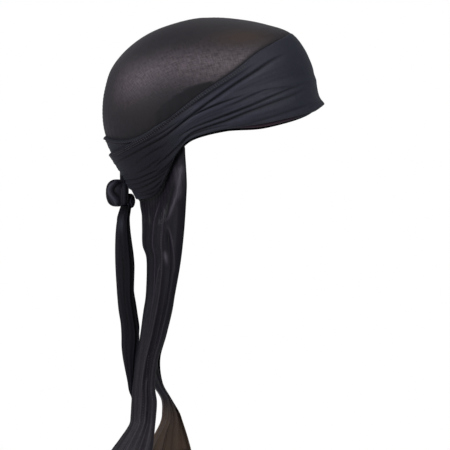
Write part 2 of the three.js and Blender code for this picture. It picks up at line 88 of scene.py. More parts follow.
# A smooth curve through the rows of a table
def along(keys, values, at):
    keys = np.asarray(keys, float)
    values = np.asarray(values, float)
    last = len(keys) - 1
    at = np.clip(np.asarray(at, float), keys[0], keys[-1])
    i = np.clip(np.searchsorted(keys, at, side="right") - 1, 0, last - 1)
    rows = np.arange(last + 1)
    before = np.maximum(rows - 1, 0)
    after = np.minimum(rows + 1, last)
    slope = (values[after] - values[before]) / (keys[after] - keys[before])
    step = keys[i + 1] - keys[i]
    t = (at - keys[i]) / step
    rise = t * t * (3 - 2 * t)
    bend = t * (1 - t) * step * ((1 - t) * slope[i] - t * slope[i + 1])
    return values[i] * (1 - rise) + values[i + 1] * rise + bend


def smooth(value, low, high):
    t = np.clip((np.asarray(value, float) - low) / (high - low), 0, 1)
    return t * t * (3 - 2 * t)


# A soft hump: 1 at the centre, falling away over the width
def bell(value, centre, width, power=2):
    return np.exp(-abs((value - centre) / width) ** power)


# The rise of a rounded edge, from 0 at its foot to 1 where it levels out
def rolled(share):
    return np.sqrt(np.clip(1 - (1 - np.clip(share, 0, 1)) ** 2, 0, 1))


def direction(azimuth, elevation):
    turn = np.radians(azimuth)
    tilt = np.radians(elevation)
    level = np.cos(tilt)
    return np.stack([level * np.cos(turn), level * np.sin(turn), np.sin(tilt) + 0 * turn], axis=-1)


def unit(way):
    return way / np.linalg.norm(way, axis=-1, keepdims=True)


def headPoint(way):
    way = unit(way)
    level = np.maximum(np.hypot(way[..., 0], way[..., 1]), 1e-9)
    elevation = np.degrees(np.arcsin(np.clip(way[..., 2], -1, 1)))
    front = along(head["elevation"], head["front"], elevation)
    back = along(head["elevation"], head["back"], elevation)
    ahead = np.where(way[..., 0] >= 0, front, back)
    aside = along(head["elevation"], head["side"], elevation)
    square = 2 + 0.25 * level * level
    powers = (abs(way[..., 0]) / level / ahead) ** square + (abs(way[..., 1]) / level / aside) ** square
    reach = powers ** (-1 / square)
    half = np.array([head["length"] / 2, head["breadth"] / 2, head["height"]])
    return way * reach[..., None] * half - np.array([0, 0, head["height"]])


# Points that lie off the form by lift, square to its surface
def onHead(way, lift):
    way = unit(way)
    helper = np.where(abs(way[..., 2:]) > 0.9, [[1.0, 0, 0]], [[0, 0, 1.0]])
    first = unit(np.cross(helper, way))
    second = np.cross(way, first)
    nudge = 1e-3
    spot = headPoint(way)
    outward = unit(np.cross(headPoint(way + first * nudge) - spot, headPoint(way + second * nudge) - spot))
    return spot + outward * np.asarray(lift)[..., None]


# The way to a spot on the middle line, by how many degrees over from the front it lies
def overTop(sweep):
    ahead = direction(0 * sweep, sweep)
    behind = direction(180 + 0 * sweep, 180 - sweep)
    return np.where(sweep[:, None] <= 90, ahead, behind)


def edgeAt(name, azimuth):
    return along(edges["azimuth"], edges[name], azimuth)


def noise(seed, count):
    return np.random.default_rng(seed).uniform(-1, 1, count)


# A gentle random curve along one coordinate, the same at 0 and at 1
def wander(seed, at, waves=5, reach=1.0):
    rates = 1 + np.arange(waves)
    turns = noise(seed, waves) * math.pi
    sizes = noise(seed + 1, waves) / rates
    at = np.asarray(at, float)
    return reach * sum(s * np.sin(2 * math.pi * r * at + t) for s, r, t in zip(sizes, rates, turns))


# A grid of cloth; place(u, v) gives its spots and the marks that the finishes read
def clothSheet(name, columns, rows, place, size, wall=None, turned=False, ringed=False):
    mesh = bmesh.new()
    bmesh.ops.create_grid(mesh, x_segments=columns, y_segments=rows, size=0.5)
    flat = np.array([corner.co[:2] for corner in mesh.verts])
    flat = (flat - flat.min(axis=0)) / (flat.max(axis=0) - flat.min(axis=0))
    spots, marks = place(flat[:, 0], flat[:, 1])
    layers = {mark: mesh.verts.layers.float.new(mark) for mark in marks}
    mapped = mesh.loops.layers.uv.new("cloth")
    for i, corner in enumerate(mesh.verts):
        corner.co = spots[i] * metre
        for mark, layer in layers.items():
            corner[layer] = float(marks[mark][i])
        for loop in corner.link_loops:
            loop[mapped].uv = flat[i] * size
    if ringed:
        bmesh.ops.remove_doubles(mesh, verts=mesh.verts, dist=1e-6)
    if turned:
        bmesh.ops.reverse_faces(mesh, faces=mesh.faces)
    for face in mesh.faces:
        face.smooth = True
    data = bpy.data.meshes.new(name)
    mesh.to_mesh(data)
    mesh.free()
    piece = bpy.data.objects.new(name, data)
    bpy.context.collection.objects.link(piece)
    if wall:
        solid = piece.modifiers.new("wall", "SOLIDIFY")
        solid.thickness = wall * metre
        solid.offset = -1
    return piece


# Short rounded stitches, one after another along lines of spots
def stitchRow(name, rows, stitch):
    mesh = bmesh.new()
    for spots, outwards in rows:
        steps = np.linalg.norm(np.diff(spots, axis=0), axis=1)
        run = np.concatenate([[0], np.cumsum(steps)])
        for at in np.arange(0.5, int(run[-1] / stitch["pitch"])) * stitch["pitch"]:
            ends = [
                np.array([np.interp(at + side * stitch["length"] / 2, run, spots[:, k]) for k in range(3)])
                for side in (-1, 1)
            ]
            out = unit(np.array([np.interp(at, run, outwards[:, k]) for k in range(3)]))
            tangent = unit(ends[1] - ends[0])
            across = unit(np.cross(out, tangent))
            lie = Matrix([
                [*(tangent * stitch["length"] / 2), 0],
                [*(across * stitch["width"] / 2), 0],
                [*(np.cross(tangent, across) * stitch["width"] / 2), 0],
                [0, 0, 0, 1],
            ]).transposed()
            lie.translation = Vector((ends[0] + ends[1]) / 2 + out * stitch["rise"])
            bmesh.ops.create_icosphere(mesh, subdivisions=1, radius=1, matrix=lie)
    for face in mesh.faces:
        face.smooth = True
    bmesh.ops.scale(mesh, vec=(metre,) * 3, verts=mesh.verts)
    bmesh.ops.recalc_face_normals(mesh, faces=mesh.faces)
    data = bpy.data.meshes.new(name)
    mesh.to_mesh(data)
    mesh.free()
    piece = bpy.data.objects.new(name, data)
    bpy.context.collection.objects.link(piece)
    return piece


def bothSides(azimuth):
    return np.minimum(azimuth % 360, 360 - azimuth % 360)


# A shader socket that takes part in sums
class Signal:
    def __init__(self, tree, socket=None):
        self.tree = tree
        self.socket = socket

    def make(self, kind, settings=None, sockets=None, output=0):
        node = self.tree.nodes.new(kind)
        for key, value in (settings or {}).items():
            setattr(node, key, value)
        for key, value in (sockets or {}).items():
            if isinstance(value, Signal):
                self.tree.links.new(value.socket, node.inputs[key])
            else:
                node.inputs[key].default_value = value
        return Signal(self.tree, node.outputs[output])

    def sum(self, operation, other, swapped=False):
        pair = (other, self) if swapped else (self, other)
        return self.make("ShaderNodeMath", {"operation": operation}, {0: pair[0], 1: pair[1]})

    def __add__(self, other):
        return self.sum("ADD", other)

    def __radd__(self, other):
        return self.sum("ADD", other, True)

    def __sub__(self, other):
        return self.sum("SUBTRACT", other)

    def __rsub__(self, other):
        return self.sum("SUBTRACT", other, True)

    def __mul__(self, other):
        return self.sum("MULTIPLY", other)


# What all the finishes share: noise, how it mixes into the tone, and what roughens or raises the cloth
weave = {
    "slubDetail": 3.0, "bloomScale": 26.0, "bloomDetail": 4.0, "bloomShare": 0.4, "paintedHighlightFrom": 0.3,
    "paintedHighlightMottle": 1.4, "thinFrom": 0.5, "slubRough": 0.16, "foldRough": 0.1, "doubledClothAndPaintedShadeRough": 0.15,
    "threadBump": 0.6, "slubBump": 0.8, "bumpDistance": 0.0002, "sheenRoughness": 0.4,
}


# A fine satin weave with slubs and a bloom of lint, with painted shade down in the folds and a painted
# highlight along them
def silk(name, look):
    material = bpy.data.materials.new(name)
    material.use_nodes = True
    tree = material.node_tree
    shader = tree.nodes["Principled BSDF"]
    start = Signal(tree)

    # threads follow the cloth's own map, in metres
    mapped = start.make("ShaderNodeUVMap", {"uv_map": "cloth"})
    acrossThread = mapped.make("ShaderNodeSeparateXYZ", None, {0: mapped})
    alongThread = Signal(tree, acrossThread.socket.node.outputs[1])
    rate = 2 * math.pi / look["thread"]
    warp = mapped.make("ShaderNodeMath", {"operation": "SINE"}, {0: acrossThread * rate})
    weft = mapped.make("ShaderNodeMath", {"operation": "SINE"}, {0: alongThread * rate})
    alongScale = look["slubScale"]
    acrossScale = (alongScale[1], alongScale[0], 1)

    def slubs(scale):
        stretched = mapped.make("ShaderNodeMapping", None, {"Vector": mapped, "Scale": scale})
        sockets = {"Vector": stretched, "Scale": 1.0, "Detail": weave["slubDetail"]}
        return mapped.make("ShaderNodeTexNoise", None, sockets)

    slub = slubs(alongScale)
    pick = slubs(acrossScale)
    spot = mapped.make("ShaderNodeTexCoord", None, None, 3)
    sockets = {"Vector": spot, "Scale": weave["bloomScale"], "Detail": weave["bloomDetail"]}
    bloom = mapped.make("ShaderNodeTexNoise", None, sockets)
    marks = {
        mark: mapped.make("ShaderNodeAttribute", {"attribute_name": mark}, None, 2)
        for mark in ("fold", "thin", "doubledClothAndPaintedShade", "paintedHighlight")
    }

    def blended(factor, first, second):
        return mapped.make(
            "ShaderNodeMix", {"data_type": "RGBA", "blend_type": "MIX", "clamp_factor": True},
            {"Factor": factor, 6: first, 7: second}, 2,
        )

    mottle = (slub + pick) * look["mottle"] + (0.5 - look["mottle"])
    mixed = mottle * (1 - weave["bloomShare"]) + bloom * weave["bloomShare"]
    tone = blended(mixed, look["low"], look["high"])
    # painted highlight: the base colour turns toward a light tone where the mark for it is set
    paintedHighlightStrength = weave["paintedHighlightFrom"] + mottle * weave["paintedHighlightMottle"]
    tone = blended(marks["paintedHighlight"] * paintedHighlightStrength, tone, look["paintedHighlight"])
    tone = blended(marks["thin"] * (weave["thinFrom"] + bloom), tone, look["thin"])
    # a darker tone where the cloth lies double, also used as painted shade over the straps' back, the crown's
    # lower back, the knot and the ties
    tone = blended(marks["doubledClothAndPaintedShade"], tone, look["doubledClothAndPaintedShade"])
    # painted shade: the base colour turns toward a dark tone in creases, hems and under other layers, where
    # the mark for it is low
    tone = blended((1 - marks["fold"]) * look["creaseDepth"], tone, look["crease"])
    tree.links.new(tone.socket, shader.inputs["Base Color"])
    rough = look["roughness"] + (slub - 0.5) * weave["slubRough"]
    rough = rough + (1 - marks["fold"]) * weave["foldRough"] + marks["doubledClothAndPaintedShade"] * weave["doubledClothAndPaintedShadeRough"]
    tree.links.new(rough.socket, shader.inputs["Roughness"])
    raised = warp * weft * weave["threadBump"] + slub * weave["slubBump"]
    bump = mapped.make(
        "ShaderNodeBump", None,
        {"Strength": look["bump"], "Distance": weave["bumpDistance"], "Height": raised},
    )
    tree.links.new(bump.socket, shader.inputs["Normal"])
    shader.inputs["Specular IOR Level"].default_value = look["specular"]
    shader.inputs["Sheen Weight"].default_value = look["sheen"]
    shader.inputs["Sheen Roughness"].default_value = weave["sheenRoughness"]
    shader.inputs["Sheen Tint"].default_value = look["sheenTint"]
    return material


def marksOf(fold, thin=0.0, doubledClothAndPaintedShade=0.0, paintedHighlight=0.0):
    return {"fold": fold, "thin": thin + 0 * fold, "doubledClothAndPaintedShade": doubledClothAndPaintedShade + 0 * fold, "paintedHighlight": paintedHighlight + 0 * fold}


def dress(piece, material, nodes=()):
    piece.data.materials.append(material)
    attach(piece, "root")
    if nodes:
        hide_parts(*nodes)


# Finishes
crownSilk = silk("crown silk", {
    "thread": 0.00042, "slubScale": (170, 900, 1), "mottle": 1.5, "low": (0.0115, 0.0102, 0.0128, 1),
    "high": (0.027, 0.023, 0.028, 1), "paintedHighlight": (0.187, 0.15, 0.17, 1), "thin": (0.065, 0.038, 0.024, 1),
    "doubledClothAndPaintedShade": (0.0032, 0.003, 0.0058, 1), "crease": (0.002, 0.002, 0.003, 1), "creaseDepth": 0.85,
    "roughness": 0.5, "bump": 0.25, "specular": 0.3, "sheen": 0.1,
    "sheenTint": (0.8, 0.76, 0.84, 1),
})
strapSilk = silk("strap silk", {
    "thread": 0.00042, "slubScale": (90, 700, 1), "mottle": 0.8, "low": (0.0132, 0.0141, 0.0232, 1),
    "high": (0.022, 0.0236, 0.0375, 1), "paintedHighlight": (0.04, 0.042, 0.06, 1), "thin": (0.05, 0.018, 0.032, 1),
    "doubledClothAndPaintedShade": (0.0042, 0.003, 0.0078, 1), "crease": (0.001, 0.001, 0.0018, 1), "creaseDepth": 0.95,
    "roughness": 0.52, "bump": 0.2, "specular": 0.25, "sheen": 0.08,
    "sheenTint": (0.66, 0.74, 0.95, 1),
})
flapSilk = silk("flap silk", {
    "thread": 0.00042, "slubScale": (700, 60, 1), "mottle": 0.9, "low": (0.0044, 0.0033, 0.0068, 1),
    "high": (0.0078, 0.0061, 0.0108, 1), "paintedHighlight": (0.1, 0.088, 0.11, 1), "thin": (0.1, 0.066, 0.046, 1),
    "doubledClothAndPaintedShade": (0.004, 0.004, 0.006, 1), "crease": (0.0015, 0.0013, 0.002, 1), "creaseDepth": 0.85,
    "roughness": 0.42, "bump": 0.2, "specular": 0.2, "sheen": 0.035,
    "sheenTint": (0.76, 0.68, 0.88, 1),
})
threadSilk = silk("sewing thread", {
    "thread": 0.0003, "slubScale": (90, 90, 1), "mottle": 0.5, "low": (0.062, 0.055, 0.062, 1),
    "high": (0.095, 0.085, 0.095, 1), "paintedHighlight": (0.05, 0.05, 0.05, 1), "thin": (0.05, 0.04, 0.04, 1),
    "doubledClothAndPaintedShade": (0.03, 0.03, 0.03, 1), "crease": (0.02, 0.02, 0.025, 1), "creaseDepth": 0.3,
    "roughness": 0.55, "bump": 0.1, "specular": 0.3, "sheen": 0.1,
    "sheenTint": (0.8, 0.8, 0.88, 1),
})
print("finishes made")


# Crown panels
crown = {
    "corner": 24, "columns": 150, "rows": 76, "lift": 0.5, "uvSize": (0.35, 0.17), "flat": (0.34, 0.15),
    "area": 0.037,
    # ripples above the straps in millimetres, how many degrees up they fade, and the pull at the seam
    "ripple": 0.2, "rippleRate": 1.1, "rippleFade": 9, "seamPull": 0.35,
    # the painted sheen band: its height at each place from back to front and its widths, in millimetres, then
    # a painted highlight streak along the crest
    "bandX": [-92, -79, -60, -37, -5, 28, 60, 90], "bandZ": [-104, -80, -64, -51, -45, -43, -42, -40],
    "bandAbove": 15, "bandBelow": 25, "bandFront": 0.46, "bandBack": 0.54, "bandSpread": 0.45,
    "crest": 0.55, "crestAt": 0.07, "crestWidth": 0.026,
    # where the cloth lies double: the patch's top edge at each azimuth, and how dark each part is; the lower
    # back and a line along the straps' top edge take the same dark tone as painted shade
    "patchAzimuth": [80, 86, 90, 95, 102, 109, 115, 122],
    "patchTop": [16, 16.8, 16.2, 14.4, 11.3, 5.8, 0.5, -8],
    "patchTone": 0.92, "paintedLowerShadeTone": 0.74, "paintedBorderShadeTone": 0.85, "paintedBorderShadeWidth": 1.9,
    # where the cloth looks thin: azimuth, width, elevation, height and how much
    "thinSpots": [(62, 20, 46, 7, 0.6), (124, 14, -4, 8, 0.3)],
    # painted shade where the straps cover the crown and beside the centre seam
    "strapShade": 0.8, "seamShade": 0.5,
}


def crownPlace(hand):
    def place(u, v):
        start = edgeAt("crownRim", 0)
        seam = overTop(start + u * (180 - edgeAt("crownRim", 180) - start))
        azimuth = crown["corner"] + u * (180 - 2 * crown["corner"])
        rim = direction(azimuth, edgeAt("crownRim", azimuth))
        arc = np.arccos(np.clip((seam * rim).sum(axis=1), -1, 1))
        way = unit(seam * np.sin((1 - v) * arc)[:, None] + rim * np.sin(v * arc)[:, None])
        turn = np.degrees(np.arctan2(way[:, 1], way[:, 0]))
        lean = np.degrees(np.arcsin(way[:, 2]))
        cover = np.maximum(edgeAt("outerTop", turn), edgeAt("innerTop", turn))
        above = lean - cover
        near = np.exp(-np.clip(above, 0, 60) / crown["rippleFade"]) * smooth(above, -6, 0)
        phase = turn * crown["rippleRate"] + wander(5, turn / 180, 6, 1.6)
        ripple = crown["ripple"] * near * np.sin(phase)
        spot = onHead(way, crown["lift"] + ripple - crown["seamPull"] * np.exp(-v * 20))
        spot[:, 1] = hand * np.maximum(spot[:, 1], cloth["panelGap"] / 2)
        x, z = spot[:, 0], spot[:, 2]

        patch = along(crown["patchAzimuth"], crown["patchTop"], turn)
        double = smooth(patch - lean, -0.2, 0.5) * smooth(turn, 81, 86) * smooth(-turn, -124, -116)
        # painted shade on the lower back and along the straps' top edge, in the same dark tone as the doubled
        # patch
        paintedLowerShade = smooth(turn, 60, 110) * smooth(-lean, -34, 6)
        paintedBorderShade = crown["paintedBorderShadeTone"] * bell(above, 0, crown["paintedBorderShadeWidth"]) * smooth(turn, 25, 50)
        doubledClothAndPaintedShade = np.maximum(np.maximum(crown["patchTone"] * double, crown["paintedLowerShadeTone"] * paintedLowerShade), paintedBorderShade)

        # a painted sheen band across the crown and a painted highlight streak along the crest beside the
        # seam, kept off the doubled and shaded parts
        off = z - along(crown["bandX"], crown["bandZ"], x)
        reach = 1 + crown["bandSpread"] * smooth(-x, 45, 85)
        width = reach * np.where(off > 0, crown["bandAbove"], crown["bandBelow"])
        paintedSheenBand = (crown["bandFront"] + crown["bandBack"] * smooth(-x, 35, 75)) * bell(off, 0, width)
        crest = crown["crest"] * bell(v, crown["crestAt"], crown["crestWidth"])
        crest = crest * smooth(x, -25, 10) * smooth(-x, -80, -60)
        paintedHighlight = np.clip(paintedSheenBand + crest, 0, 1) * (1 - doubledClothAndPaintedShade)
        thin = sum(
            much * bell(turn, atTurn, wide) * bell(lean, atLean, tall)
            for atTurn, wide, atLean, tall, much in crown["thinSpots"]
        )
        # painted shade under the straps and beside the centre seam
        fold = 1 - crown["strapShade"] * smooth(-above, -1.6, 0) - crown["seamShade"] * bell(v * 60, 0, 1)
        return spot, marksOf(fold, thin, doubledClothAndPaintedShade, paintedHighlight)
    return place


for side, hand in (("right", -1), ("left", 1)):
    panel = clothSheet("crown_panel_" + side, crown["columns"], crown["rows"], crownPlace(hand),
                       crown["uvSize"], cloth["shown"], turned=hand < 0)
    dress(panel, crownSilk, ["crown_" + side])
print("crown made")


# The rolled seam over the top
seam = {
    "columns": 260, "rows": 14, "from": 44.0, "to": 199.5, "width": 3.4, "height": 0.4, "sunk": 0.3,
    "pucker": 0.1, "puckerRate": 2.6, "unevenness": 0.12, "groove": 0.5, "grooveWidth": 0.16,
    "grooveShade": 0.75, "tone": 0.6, "wall": 0.4, "uvSize": (0.27, 0.005), "flat": (0.26, 0.012),
    "area": 0.0014,
}


def seamPlace(u, v):
    sweep = seam["from"] + u * (seam["to"] - seam["from"])
    across = 2 * v - 1
    arch = np.sqrt(np.maximum(1 - across ** 2, 0))
    pucker = seam["pucker"] * np.sin(sweep * seam["puckerRate"])
    pucker = pucker + wander(11, sweep / 160, 7, seam["unevenness"])
    lift = crown["lift"] - seam["sunk"] + (seam["height"] + seam["sunk"]) * arch + pucker * arch
    spot = onHead(overTop(sweep), lift)
    spot[:, 1] = across * seam["width"] / 2
    # painted shade in the grooves beside the roll; the roll itself lies double
    groove = bell(abs(across), seam["groove"], seam["grooveWidth"])
    return spot, marksOf(1 - seam["grooveShade"] * groove, 0.0, seam["tone"])


centreSeam = clothSheet("centre_seam_roll", seam["columns"], seam["rows"], seamPlace, seam["uvSize"],
                        seam["wall"])
dress(centreSeam, crownSilk, ["centre_seam"])


# Straps: each crease of the outer one at its azimuths and elevations, with how deep it is there
straps = {
    "azimuth": [0, 25, 40, 55, 70, 85, 95, 105, 115, 125, 145, 160, 180],
    "growth": [0.02, 0.08, 0.35, 0.7, 0.9, 1, 1, 0.95, 0.8, 0.7, 0.6, 0.45, 0.35],
    "innerGrowth": [0, 0, 0, 0, 0, 0, 0, 0.1, 0.3, 0.5, 0.6, 0.6, 0.6],
    "foldDepth": 1.9, "innerFold": 1.3, "degree": 1.55, "step": 5, "columns": 330, "rows": 150,
    "innerColumns": 300, "innerRows": 60, "topCurl": 1.3, "rimCurl": 1.7, "innerCurl": 1.2,
    "uvSize": (0.5, 0.08), "flat": (0.52, 0.1), "area": 0.036,
    "innerUvSize": (0.55, 0.06), "innerFlat": (0.6, 0.06), "innerArea": 0.025,
    # a crease's width, how far widths differ and how much softer its lower flank is; its depth and its crest
    "creaseWidth": 0.85, "creaseUneven": 0.2, "lowerFlank": 1.8, "creaseDepth": 0.9, "crestHeight": 0.3,
    # hems: distances from the edges and widths of their grooves, in millimetres
    "hems": (1.9, 3.6), "hemWidth": 0.35, "rimHem": 3.4, "rimHemWidth": 0.4,
    "innerHem": (3.1, 2.9), "innerHemWidth": (0.42, 0.4),
    # the lower edge stands off at the front, and the upper edge is raised at the back
    "flare": 2.4, "raised": 0.4, "innerRaised": 1.3,
    # creases of the inner strap: place across, and how deep
    "innerCreases": [(0.1, 0.3), (0.17, 1.0), (0.29, 0.9), (0.42, 1.0), (0.58, 0.8), (0.74, 0.9)],
    "creases": [
        ([38, 52, 62, 73.8, 84.7, 94.3, 100.7, 106.3, 112.4, 118.9, 130.2, 140.2, 159.7, 180],
         [32.5, 27.4, 22, 14.7, 6.4, -1.2, -6.6, -11.4, -16, -19.3, -24.1, -27.8, -32.4, -35],
         [0, .7, 1, 1, 1, 1, 1, 1, 1, 1, 1, .9, .8, .8]),
        ([60, 70, 79, 90, 103, 112, 122], [27.5, 21.2, 15.2, 7.4, -2.6, -9.6, -16.6],
         [0, .3, .5, .6, .6, .5, .3]),
        ([98, 106, 115, 125, 140, 160, 180], [-3, -8.6, -14.2, -18.8, -24, -29.4, -32],
         [0, .4, .5, .5, .5, .5, .6]),
        ([24, 30.7, 43.5, 55.2, 63.6, 74.1, 84.6, 95.5, 104],
         [17, 15.3, 11.8, 7.1, 3.2, -1.2, -6, -10.9, -16],
         [0, .25, .7, 1, 1, 1, .9, .7, .3]),
        ([24, 31.4, 46.3, 58.3, 68.9, 77.7, 87.3, 96.6, 103],
         [14.5, 12.3, 6.2, 2, -1.8, -5.9, -9.6, -13.6, -19],
         [0, .2, .7, .9, 1, 1, 1, .8, .3]),
        ([38, 43.3, 57.7, 66.1, 74.2, 82], [13.4, 12.9, 10.8, 7.4, 3.3, 0.5], [0, .2, .45, .5, .5, 0]),
        ([66, 74.1, 84.7, 92.7, 99], [9.5, 6.3, 2.2, -1.6, -5.5], [0, .5, .8, .8, 0]),
        ([10, 18, 37.2, 49.9, 59.7, 69.4, 78], [4.6, 3.6, 1.2, -2.3, -5.6, -8.6, -10.4],
         [.1, .3, .6, .6, .5, .4, 0]),
        ([72, 82, 92, 100, 106], [-7.6, -10.2, -13.4, -17, -24], [0, .5, .7, .7, .4]),
        ([100, 104, 108, 113.1, 119.6, 127],
         [-17, -20.6, -24.5, -28.9, -33.3, -37.5], [0, .5, .8, .8, .6, 0]),
        ([104, 107.6, 112.3, 117.3, 123, 129],
         [-24.5, -28.6, -33.2, -36.9, -40, -42], [0, .6, .8, .7, .5, 0]),
        ([109, 113.5, 118.3, 122.8, 127.9, 134, 145], [-18.5, -21.6, -23.8, -26.1, -28.8, -31.8, -35.5],
         [0, .5, .7, .7, .5, .4, 0]),
        ([114, 119.2, 123.4, 131, 142, 160], [-28, -31.2, -33.6, -37.1, -40, -41.8], [0, .5, .6, .6, .4, 0]),
        ([119, 123.5, 131.5, 143.5, 160, 180], [-36, -38.4, -41, -43.7, -45.4, -46.2], [0, .6, .8, .9, 1, 1]),
        ([106, 110.1, 115.2, 122.6, 132.9, 146.1, 163, 180],
         [-29.5, -32.9, -37, -41, -44.4, -47.2, -48.2, -48.6],
         [0, .6, .9, 1, 1, 1, 1, 1]),
        ([113, 118, 124.2, 133.6, 145.7, 163, 175], [-37.5, -40.9, -44.2, -47.7, -50, -50.6, -50.4],
         [0, .6, .9, 1, 1, .8, 0]),
        ([119, 124, 132.9, 146.9, 158], [-43, -46.8, -50.6, -52.2, -52.2], [0, .6, .8, .7, 0]),
        ([148, 160, 170, 180], [-36.6, -38, -39, -39.4], [0, .5, .7, .7]),
        ([142, 156, 168, 180], [-39, -41, -42.4, -42.9], [0, .5, .7, .8]),
    ],
}


# Lift of the outer strap's outer face with no fold, over what lies beneath it
def outerBase(azimuth, elevation):
    growth = along(straps["azimuth"], straps["innerGrowth"], azimuth)
    step = smooth(edgeAt("innerTop", azimuth) + straps["step"] - elevation, 0, straps["step"])
    layer = cloth["wall"] + cloth["gap"]
    return cloth["wall"] + layer + step * (layer + straps["innerFold"] * growth)


# Height of the folds, about 1 on a ridge and 0 down in a crease, and how much painted shade lies in a crease
# and painted highlight beside it
def creaseFolds(elevation, azimuth, seed):
    height = np.ones_like(elevation)
    paintedShade = np.zeros_like(elevation)
    light = np.zeros_like(elevation)
    for i, (turns, leans, depths) in enumerate(straps["creases"]):
        line = along(turns, leans, azimuth) + wander(seed + 7 * i, azimuth / 180, 6, 0.3)
        within = (azimuth > turns[0]) & ((azimuth < turns[-1]) | (turns[-1] == 180))
        depth = np.interp(azimuth, turns, depths) * within
        depth = np.clip(depth * (1 + wander(seed + 3 * i, azimuth / 180, 8, 0.15)), 0, 1)
        off = (elevation - line) * straps["degree"]
        wide = straps["creaseWidth"] + straps["creaseUneven"] * math.sin(1.7 * i + 0.6)
        flank = np.where(off > 0, wide, wide * straps["lowerFlank"])
        crest = bell(off, 2.2 * wide, 1.5 * wide)
        groove = bell(off, 0, flank, 1.25)
        height = height - depth * (straps["creaseDepth"] * groove - straps["crestHeight"] * crest)
        paintedShade = np.maximum(paintedShade, depth * bell(off, 0, 0.62 * flank, 1.5))
        light = np.maximum(light, depth * bell(off, -3.6 * wide, 2.2 * wide))
    return height, paintedShade, light * (1 - paintedShade)


# Blends the left side's value into the right side's where they meet at the back
def joined(azimuth, right, left):
    near = abs(azimuth)
    share = np.where(azimuth < 0, 1, smooth(near, 160, 179))
    return right * share + left * (1 - share)


def strapPlace(u, v):
    azimuth = (2 * u - 1) * 180
    near = abs(azimuth)
    grow = along(straps["azimuth"], straps["growth"], near)
    top = edgeAt("outerTop", near) + grow * wander(21, u, 14, 0.25)
    rim = edgeAt("outerRim", near) + grow * wander(23, u, 14, 0.3)
    elevation = top + v * (rim - top)
    right = creaseFolds(elevation, near, 31)
    left = creaseFolds(elevation + 1.1 * np.sin(near / 17), near, 131)
    height, paintedShade, light = (joined(azimuth, r, l) for r, l in zip(right, left))
    fine = 0.06 * np.sin(v * 95 + wander(41, u, 9, 3.0)) * grow
    base = outerBase(near, elevation) - 1.2 * bell(near, 0, 45) * smooth(elevation, 20, 32)
    lift = base + straps["foldDepth"] * grow * height + fine
    # the edges turn under and lie down on the layer below
    fromTop = (top - elevation) * straps["degree"]
    fromRim = (elevation - rim) * straps["degree"]
    rounded = rolled(np.minimum(fromTop / straps["topCurl"], fromRim / straps["rimCurl"]))
    flare = straps["flare"] * np.exp(-fromRim / 3.2) * bell(near, 0, 26)
    raised = smooth(near, 130, 165) * straps["raised"] * bell(fromTop, 1.4, 1.3)
    lift = base - cloth["gap"] + (lift - base + cloth["gap"]) * rounded + flare + raised
    hem = sum(bell(fromTop, at, straps["hemWidth"]) for at in straps["hems"])
    hem = hem * smooth(near, 62, 84) * (1 - 0.6 * smooth(near, 118, 130))
    rimHem = 0.6 * bell(fromRim, straps["rimHem"], straps["rimHemWidth"]) * (1 - smooth(near, 30, 60))
    lift = lift - 0.2 * hem - 0.15 * rimHem
    spot = onHead(direction(azimuth, elevation), lift)
    # painted shade at the turned-under edges, in the creases and in the hem grooves
    edgeShade = 0.6 * (1 - smooth(np.minimum(fromTop, fromRim), 0, 0.9))
    shade = np.maximum(paintedShade * smooth(grow, 0.05, 0.4), 0.5 * hem + 0.3 * rimHem)
    fold = 1 - np.clip(shade + edgeShade, 0, 1)
    # painted highlights beside the creases and a painted sheen patch towards the front; painted shade over
    # the back
    paintedHighlight = 0.6 * light * (1 - smooth(near, 96, 124)) + 0.4 * bell(near, 50, 24)
    paintedBackShade = 0.9 * smooth(near, 92, 122)
    return spot, marksOf(fold, 0.0, paintedBackShade, paintedHighlight * (1 - paintedBackShade))


outerStrap = clothSheet("outer_strap_cloth", straps["columns"], straps["rows"], strapPlace,
                        straps["uvSize"], cloth["shown"], turned=True, ringed=True)
dress(outerStrap, strapSilk, ["outer_strap"])


